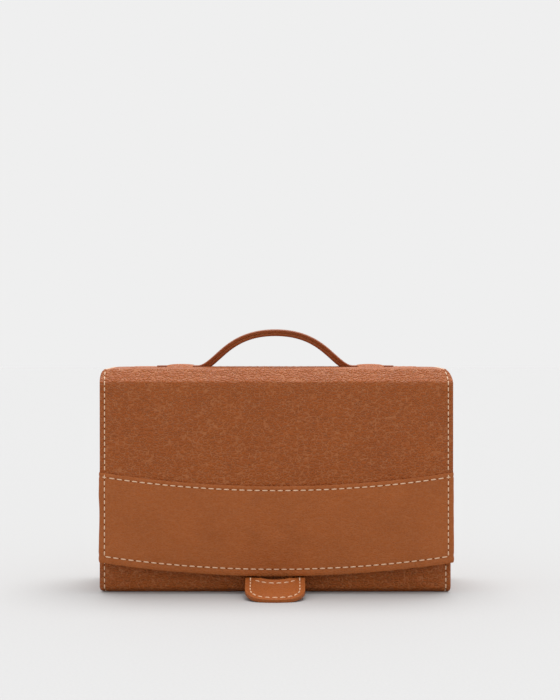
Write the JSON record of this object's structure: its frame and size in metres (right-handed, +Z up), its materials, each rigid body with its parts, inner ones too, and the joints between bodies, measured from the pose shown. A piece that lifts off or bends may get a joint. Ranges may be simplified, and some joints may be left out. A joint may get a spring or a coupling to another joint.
{
  "type": "hanging jewellery case",
  "caption": "Leather jewellery case with a fold-over lid and flap, arched carry handle, hanging loop, ring tray and necklace hooks.",
  "frame": {"origin": "centre of the flat face the case stands on", "axes": "+Z up, +X to the right along the case's width as seen from the front, front flap towards -Y"},
  "size_m": [0.2194, 0.101, 0.1646],
  "materials": {
    "pebbled_leather": "satin",
    "smooth_leather": "satin",
    "greyboard": "matte",
    "suede": "matte",
    "brass": "polished",
    "magnet_steel": "polished",
    "zip_tape": "matte"
  },
  "bodies": {
    "case_body": {"back_board": "greyboard", "back_lining": "suede", "body_magnet": "magnet_steel", "body_wrap": "pebbled_leather", "bottom_board": "greyboard", "bottom_lining": "suede", "earring_panel": "smooth_leather", "front_board": "greyboard", "front_lining": "suede", "necklace_bar": "smooth_leather", "necklace_hook_1": "brass", "necklace_hook_2": "brass", "necklace_hook_3": "brass", "necklace_hook_4": "brass", "pendant_pocket": "suede", "pocket_elastic": "smooth_leather", "ring_bar_snap_post": "brass", "ring_bar_stud": "brass", "ring_roll_1": "suede", "ring_roll_2": "suede", "ring_roll_3": "suede", "ring_roll_4": "suede", "ring_roll_5": "suede", "ring_tray": "suede", "side_board_left": "greyboard", "side_board_right": "greyboard", "side_leather_left": "pebbled_leather", "side_leather_right": "pebbled_leather", "side_lining_left": "suede", "side_lining_right": "suede"},
    "lid": {"lid_leather": "pebbled_leather", "lid_board": "greyboard", "lid_lining": "suede", "handle_base": "smooth_leather", "handle_tab_left": "smooth_leather", "handle_tab_right": "smooth_leather", "handle_keeper_left": "smooth_leather", "handle_keeper_right": "smooth_leather", "handle_upper_strap": "smooth_leather", "handle_lower_strap": "smooth_leather", "lid_fold_leather": "pebbled_leather"},
    "flap": {"flap_leather": "pebbled_leather", "flap_board": "greyboard", "flap_magnet": "magnet_steel", "flap_lining": "suede", "flap_band": "smooth_leather", "pocket_panel": "suede", "zip_tape_lower": "zip_tape", "zip_tape_upper": "zip_tape", "zip_chain": "brass", "loop_anchor": "smooth_leather", "flap_fold_leather": "pebbled_leather"},
    "zip_runner": {"zip_slider": "brass", "zip_pull": "brass"},
    "hang_loop": {"loop_upper_ply": "smooth_leather", "loop_lower_ply": "smooth_leather"},
    "ring_bar": {"ring_bar_roll": "suede", "ring_bar_strap_left": "smooth_leather", "ring_bar_strap_right": "smooth_leather", "ring_bar_snap_cap": "brass"}
  },
  "joints": [
    {"name": "lid_fold", "type": "hinge", "parent": "case_body", "child": "lid", "pos_m": [0, 0.032, 0.1355], "axis": [-1, 0, 0], "range_deg": [0, 178], "deforming": ["lid_fold_leather"]},
    {"name": "flap_fold", "type": "hinge", "parent": "lid", "child": "flap", "pos_m": [0, -0.037, 0.1358], "axis": [-1, 0, 0], "range_deg": [0, 178], "deforming": ["flap_fold_leather"]},
    {"name": "loop_swing", "type": "hinge", "parent": "flap", "child": "hang_loop", "pos_m": [0, -0.0422, 0.0106], "axis": [-1, 0, 0], "range_deg": [-70, 90]},
    {"name": "zip_run", "type": "slide", "parent": "flap", "child": "zip_runner", "axis": [1, 0, 0], "range_m": [0, 0.164]},
    {"name": "ring_bar_swing", "type": "hinge", "parent": "case_body", "child": "ring_bar", "pos_m": [-0.093, 0.017, 0.1168], "axis": [0, 1, 0], "range_deg": [0, 90]}
  ]
}
